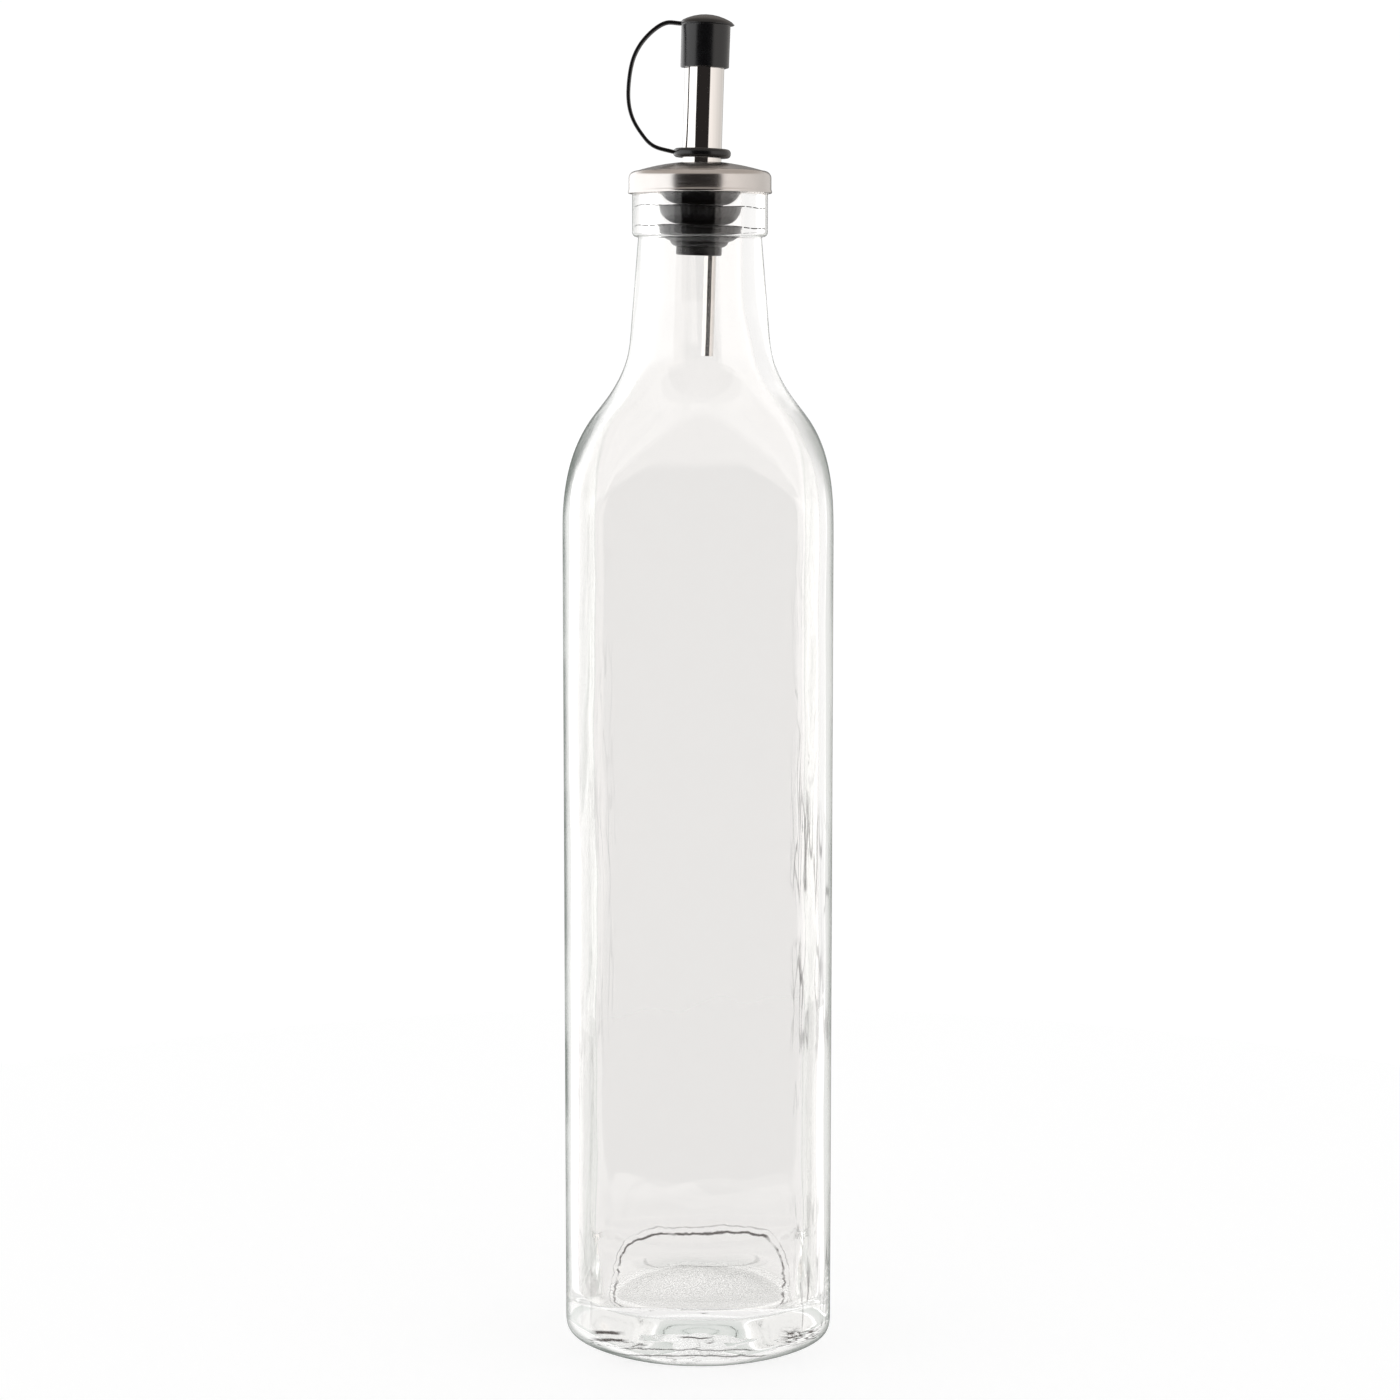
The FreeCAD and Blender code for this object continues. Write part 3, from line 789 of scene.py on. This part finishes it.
surface = add_node(tree, "ShaderNodeBsdfPrincipled", {
    "Base Color": shade, "Metallic": 1.0, "Roughness": gloss, "Normal": grain})
add_node(tree, "ShaderNodeOutputMaterial", {"Surface": surface})
spout.data.materials.append(polished_steel)
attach(spout, "pourer")
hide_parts("spout_tube")

breather_low_z = core_bottom_z - 22.2
breather_high_z = tube_tip_z - 4.5
breather = skin("breather", turned(rounded_outline([(
    breather_radius - breather_wall, breather_low_z, 0.08), (breather_radius, breather_low_z,
    0.08), (breather_radius, breather_high_z, 0.08), (breather_radius - breather_wall,
    breather_high_z, 0.08)]), 64, lambda x, y, z: leaned(x + breather_offset, y, z)), loop=True,
    sharp=40)
breather.data.materials.append(polished_steel)
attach(breather, "pourer")
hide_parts("breather_tube")

# ---- dust cap, strap and ring ---------------------------------------------------------
# The real piece is one moulding of black polyethylene: a cup with a thin domed lid, a
# flat strap that springs out in a bow, and a ring round the foot of the spout. The cup
# pushes over the tip, and the ring keeps it on the pourer.

ring_low_z = plate_z + collar_dome + 0.8
ring_radius = 6.5
ring_thickness = 2.0
cap_low_z = tube_tip_z - 8.6
cap_radius = 5.5
cap_height = 10.0
lid_radius = 6.4
lid_dome = 2.0
lid_z = cap_low_z + cap_height
socket_radius = tube_radius + 0.12

# Moulded polyethylene: black with a waxy, slightly uneven shine.
moulded_polyethylene, tree = new_material("moulded black polyethylene")
place = add_node(tree, "ShaderNodeTexCoord")
waxy = add_node(tree, "ShaderNodeTexNoise", {
    "Vector": place.outputs["Object"], "Scale": 500.0, "Detail": 4.0})
shade = add_node(tree, "ShaderNodeMix", {
    "Factor": waxy.outputs["Fac"], "A": linear("#040405"), "B": linear("#0E0E11")},
    data_type="RGBA")
gloss = add_node(tree, "ShaderNodeMapRange", {
    "Value": waxy.outputs["Fac"], "To Min": 0.2, "To Max": 0.32})
grain = add_node(tree, "ShaderNodeBump", {
    "Height": waxy.outputs["Fac"], "Strength": 0.15, "Distance": 0.0001})
surface = add_node(tree, "ShaderNodeBsdfPrincipled", {
    "Base Color": shade, "Roughness": gloss, "IOR": 1.51, "Normal": grain})
add_node(tree, "ShaderNodeOutputMaterial", {"Surface": surface})


def cap_point(x, y, z):
    """The lid overhangs least where the strap joins it, and the rim is a little wavy."""
    radius = math.hypot(x, y)
    angle = math.atan2(y, x)
    if radius > cap_radius + 0.05 and z > lid_z - 1:
        pull = (1 - math.cos(angle)) / 2 * 0.6 * (radius - cap_radius)
        x, y = x * (radius - pull) / radius, y * (radius - pull) / radius
    if z < cap_low_z + 0.5:
        z += 0.12 * (math.sin(
            3 * angle + 0.5) + 0.6 * math.sin(7 * angle)) * (1 - (z - cap_low_z) / 0.5)
    return leaned(x, y, z)


cap_outline = rounded_outline([(
    socket_radius, cap_low_z + 0.15, 0.15), (cap_radius - 0.05, cap_low_z + 0.15, 0.3),
    (cap_radius, lid_z - 1.0, 0), (cap_radius, lid_z - 0.45, 0.25), (lid_radius, lid_z - 0.3,
    0.12), (lid_radius - 0.1, lid_z + 0.05, 0.1)])
cap_outline += [(r, lid_z + dome_height(
    r, lid_radius, lid_dome)) for r in (5.9, 5.2, 4.2, 3.0, 1.8, 0.8)]
cap_inside = [(
    0.8, lid_z - 1.1), (socket_radius - 0.6, lid_z - 1.1), (socket_radius - 0.15, lid_z - 1.25),
    (socket_radius, lid_z - 1.7), (socket_radius, cap_low_z + 5)]
cap_rows = turned(cap_outline, 128, cap_point)
inner_rows = turned(cap_inside, 128, cap_point)
dust_cap = skin("dust_cap_shell", list(reversed(cap_rows)) + list(reversed(inner_rows)), sharp=35,
                low_pole=leaned(0, 0, lid_z + lid_dome))
dust_cap.data.materials.append(moulded_polyethylene)
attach(dust_cap, "cap")
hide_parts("dust_cap")

ring = skin("strap_ring_band", turned(rounded_outline([(
    tube_radius + 0.25, ring_low_z, 0.3), (ring_radius, ring_low_z, 0.85), (ring_radius,
    ring_low_z + ring_thickness, 0.85), (tube_radius + 0.25, ring_low_z + ring_thickness, 0.3)]),
    128, leaned), loop=True, sharp=50)
ring.data.materials.append(moulded_polyethylene)
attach(ring, "ring")
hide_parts("strap_ring")

strap_width = 3.0
strap_thickness = 0.85
low_x, low_z = -ring_radius + 0.6, ring_low_z + ring_thickness / 2
high_x, high_z = -cap_radius - 0.1, lid_z - 0.15
bow_x = -ring_radius - 10.5
rise = high_z - low_z
route = [(
    low_x, low_z), (bow_x + 6.1, low_z + 0.045 * rise), (bow_x + 3.2, low_z + 0.14 * rise),
    (bow_x + 0.9, low_z + 0.275 * rise), (bow_x, low_z + 0.44 * rise), (bow_x + 0.5,
    low_z + 0.66 * rise), (bow_x + 2.1, low_z + 0.81 * rise), (bow_x + 4.9, low_z + 0.93 * rise),
    (bow_x + 8.0, low_z + 1.0 * rise), (high_x, high_z)]
ends = [tuple(2 * Vector(route[
    0]) - Vector(route[1])), tuple(2 * Vector(route[-1]) - Vector(route[-2]))]
guide = [ends[0]] + route + [ends[1]]
line = []
for i in range(1, len(guide) - 2):
    p0, p1, p2, p3 = (Vector(p) for p in guide[i - 1:i + 3])
    for step in range(12):
        t = step / 12
        line.append(0.5 * (2 * p1 + (p2 - p0) * t + (2 * p0 - 5 * p1 + 4 * p2 - p3) * t * t
                           + (3 * p1 - p0 - 3 * p2 + p3) * t ** 3))
line.append(Vector(route[-1]))
strap_rows = []
for i, middle in enumerate(line):
    ahead = (line[min(i + 1, len(line) - 1)] - line[max(i - 1, 0)]).normalized()
    side = Vector((-ahead.y, ahead.x))
    section = []
    for k in range(24):
        a = math.tau * k / 24
        # A flat strip with rounded edges: a squared-off oval.
        w = math.copysign(abs(math.cos(a)) ** 0.35, math.cos(a)) * strap_width / 2
        t = math.copysign(abs(math.sin(a)) ** 0.5, math.sin(a)) * strap_thickness / 2
        section.append(leaned(middle.x + side.x * t, w, middle.y + side.y * t))
    strap_rows.append(section)
strap = skin("cap_strap_band", strap_rows, low_pole=leaned(line[0].x, 0, line[0].y),
             high_pole=leaned(line[-1].x, 0, line[-1].y), sharp=60)
strap.data.materials.append(moulded_polyethylene)
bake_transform(strap)
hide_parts("cap_strap")

# ---- floor ---------------------------------------------------------------------------
# A round white light table that the bottle stands on. It glows a little, so that it
# runs into the background with only a soft shadow at the foot.

bpy.ops.mesh.primitive_circle_add(vertices=128, radius=0.34, fill_type="NGON", location=(0, 0, 0))
floor = bpy.context.object
floor.name = "floor"
white_table, tree = new_material("opal acrylic table")
dark_reflection_edge_y = -0.04
matt = add_node(tree, "ShaderNodeBsdfDiffuse", {"Color": linear("#A0A0A0")})
glow = add_node(tree, "ShaderNodeEmission", {"Color": linear("#FFFFFF"), "Strength": 0.805})
both = add_node(tree, "ShaderNodeAddShader", {0: matt, 1: glow})
# In front of the bottle the table shows dark in reflections only: a painted reflection of a black
# cloth that is not there, while seen straight it stays white.
painted_dark_reflection = add_node(tree, "ShaderNodeEmission", {"Color": linear("#2E2B2A"), "Strength": 1.0})
spot = add_node(tree, "ShaderNodeNewGeometry")
spot_parts = add_node(tree, "ShaderNodeSeparateXYZ", {"Vector": spot.outputs["Position"]})
in_front = add_node(tree, "ShaderNodeMath", {
    0: spot_parts.outputs["Y"], 1: dark_reflection_edge_y}, operation="LESS_THAN")
ray = add_node(tree, "ShaderNodeLightPath")
bounced = add_node(tree, "ShaderNodeMath", {
    0: ray.outputs["Glossy Depth"], 1: 0.5}, operation="GREATER_THAN")
reflection_darkened = add_node(tree, "ShaderNodeMath", {0: in_front, 1: bounced}, operation="MULTIPLY")
few_turns = add_node(tree, "ShaderNodeMath", {
    0: ray.outputs["Glossy Depth"], 1: 2.5}, operation="LESS_THAN")
reflection_darkened = add_node(tree, "ShaderNodeMath", {0: reflection_darkened, 1: few_turns}, operation="MULTIPLY")
# Painted reflection: the dark glow replaces the table in front only for mirrored rays.
table_top = add_node(tree, "ShaderNodeMixShader", {0: reflection_darkened, 1: both, 2: painted_dark_reflection})
add_node(tree, "ShaderNodeOutputMaterial", {"Surface": table_top})
white_table.cycles.emission_sampling = "NONE"
floor.data.materials.append(white_table)
floor.visible_glossy = False

# ---- studio light ----------------------------------------------------------------------
# A white light tent with a dimmer roof. What the surfaces mirror also has a dark opening
# at the front, where the operator stands, with a brighter wall on the left than on the right.

studio = bpy.data.worlds.new("light tent")
bpy.context.scene.world = studio
studio.use_nodes = True
tree = studio.node_tree
tree.nodes.clear()
place = add_node(tree, "ShaderNodeTexCoord")
way = add_node(tree, "ShaderNodeSeparateXYZ", {"Vector": place.outputs["Generated"]})
level = add_node(tree, "ShaderNodeCombineXYZ", {"X": way.outputs["X"], "Y": way.outputs["Y"]})
compass = add_node(tree, "ShaderNodeVectorMath", {0: level}, operation="NORMALIZE")
heading = add_node(tree, "ShaderNodeSeparateXYZ", {"Vector": compass})
azimuth = add_node(tree, "ShaderNodeMath", {
    0: heading.outputs["X"], 1: heading.outputs["Y"]}, operation="ARCTAN2")
to_back = add_node(tree, "ShaderNodeMath", {0: azimuth}, operation="ABSOLUTE")
# The opening: 43 degrees to the left of the front and 37 degrees to the right.
on_right = add_node(tree, "ShaderNodeMapRange", {
    "Value": heading.outputs["X"], "From Min": -0.3, "From Max": 0.3})
opening_edge = add_node(tree, "ShaderNodeMapRange", {
    "Value": on_right, "To Min": math.radians(180 - 43), "To Max": math.radians(180 - 37)})
past_edge = add_node(tree, "ShaderNodeMath", {0: to_back, 1: opening_edge}, operation="SUBTRACT")
front_gap = add_node(tree, "ShaderNodeMapRange", {
    "Value": past_edge, "From Min": -0.04, "From Max": 0.04}, interpolation_type="SMOOTHSTEP")
back_gap = add_node(tree, "ShaderNodeMapRange", {
    "Value": to_back, "From Min": math.radians(16), "From Max": math.radians(24), "To Min": 0.8,
    "To Max": 0.0}, interpolation_type="SMOOTHSTEP")
# Light that has come through glass meets the front opening only below eye level, and never
# the back one.
ray = add_node(tree, "ShaderNodeLightPath")
through = add_node(tree, "ShaderNodeMath", {
    0: ray.outputs["Transmission Depth"], 1: 0.5}, operation="GREATER_THAN")
outside_only = add_node(tree, "ShaderNodeMath", {0: 1.0, 1: through}, operation="SUBTRACT")
back_gap = add_node(tree, "ShaderNodeMath", {0: back_gap, 1: outside_only}, operation="MULTIPLY")
above = add_node(tree, "ShaderNodeMapRange", {
    "Value": way.outputs["Z"], "From Min": 0.40, "From Max": 0.50})
hidden = add_node(tree, "ShaderNodeMath", {0: above, 1: through}, operation="MULTIPLY")
shown = add_node(tree, "ShaderNodeMath", {0: 1.0, 1: hidden}, operation="SUBTRACT")
front_gap = add_node(tree, "ShaderNodeMath", {0: front_gap, 1: shown}, operation="MULTIPLY")
# Light that has been thrown about inside the glass arrives from everywhere, so it meets no opening.
few_turns = add_node(tree, "ShaderNodeMath", {
    0: ray.outputs["Glossy Depth"], 1: 2.5}, operation="LESS_THAN")
front_gap = add_node(tree, "ShaderNodeMath", {0: front_gap, 1: few_turns}, operation="MULTIPLY")
gaps = add_node(tree, "ShaderNodeMath", {0: front_gap, 1: back_gap}, operation="MAXIMUM")
to_side = add_node(tree, "ShaderNodeMapRange", {
    "Value": to_back, "From Min": math.radians(143), "From Max": math.radians(60)})
right_side = add_node(tree, "ShaderNodeMix", {
    "Factor": through, "A": linear("#FFFBF7", 0.85), "B": linear("#FFFFFF", 0.95)},
    data_type="RGBA")
right_wall = add_node(tree, "ShaderNodeMix", {
    "Factor": to_side, "A": linear("#FFF9F5", 1.3), "B": right_side}, data_type="RGBA")
walls = add_node(tree, "ShaderNodeMix", {
    "Factor": on_right, "A": linear("#FFFFFF", 1.7), "B": right_wall}, data_type="RGBA")
mirrored = add_node(tree, "ShaderNodeMix", {
    "Factor": gaps, "A": walls, "B": linear("#2E2B2A")}, data_type="RGBA")
mirrored_roof = add_node(tree, "ShaderNodeMapRange", {
    "Value": way.outputs["Z"], "From Min": 0.35, "From Max": 0.6},
    interpolation_type="SMOOTHSTEP")
roof_colour = add_node(tree, "ShaderNodeMix", {
    "Factor": through, "A": linear("#CFC7C0"), "B": linear("#FFFFFF")}, data_type="RGBA")
mirrored_all = add_node(tree, "ShaderNodeMix", {
    "Factor": mirrored_roof, "A": mirrored, "B": roof_colour}, data_type="RGBA")
roof = add_node(tree, "ShaderNodeMapRange", {
    "Value": way.outputs["Z"], "From Min": 0.5, "From Max": 0.75},
    interpolation_type="SMOOTHSTEP")
tent = add_node(tree, "ShaderNodeMix", {
    "Factor": roof, "A": linear("#FFFFFF"), "B": linear("#8C8C8C")}, data_type="RGBA")
bounced = add_node(tree, "ShaderNodeMath", {
    0: ray.outputs["Glossy Depth"], 1: 0.5}, operation="GREATER_THAN")
seen = add_node(tree, "ShaderNodeMix", {
    "Factor": bounced, "A": tent, "B": mirrored_all}, data_type="RGBA")
seen_straight = add_node(tree, "ShaderNodeMix", {
    "Factor": ray.outputs["Is Camera Ray"], "A": seen, "B": linear("#FFFFFF", 1.02)},
    data_type="RGBA")
sky = add_node(tree, "ShaderNodeBackground", {"Color": seen_straight, "Strength": 1.0})
add_node(tree, "ShaderNodeOutputWorld", {"Surface": sky})
studio.cycles.sampling_method = "NONE"

scene = bpy.context.scene
scene.view_settings.view_transform = "Standard"
scene.cycles.max_bounces = 48
scene.cycles.transmission_bounces = 48
scene.cycles.glossy_bounces = 48

# ---- camera ----------------------------------------------------------------------------
# A short telephoto just above the cap's height that looks a little down on the bottle.

camera_data = bpy.data.cameras.new("camera")
camera_data.sensor_width = 36.0
camera_data.lens = 79.03
camera_data.shift_y = -0.04
camera_data.clip_start = 0.01
camera_data.clip_end = 20.0
camera = bpy.data.objects.new("camera", camera_data)
scene.collection.objects.link(camera)
camera.location = (0.015, -0.700, 0.238)
camera.rotation_euler = (math.radians(90 - 6.16), 0.0, math.radians(1.2277))
scene.camera = camera

import json
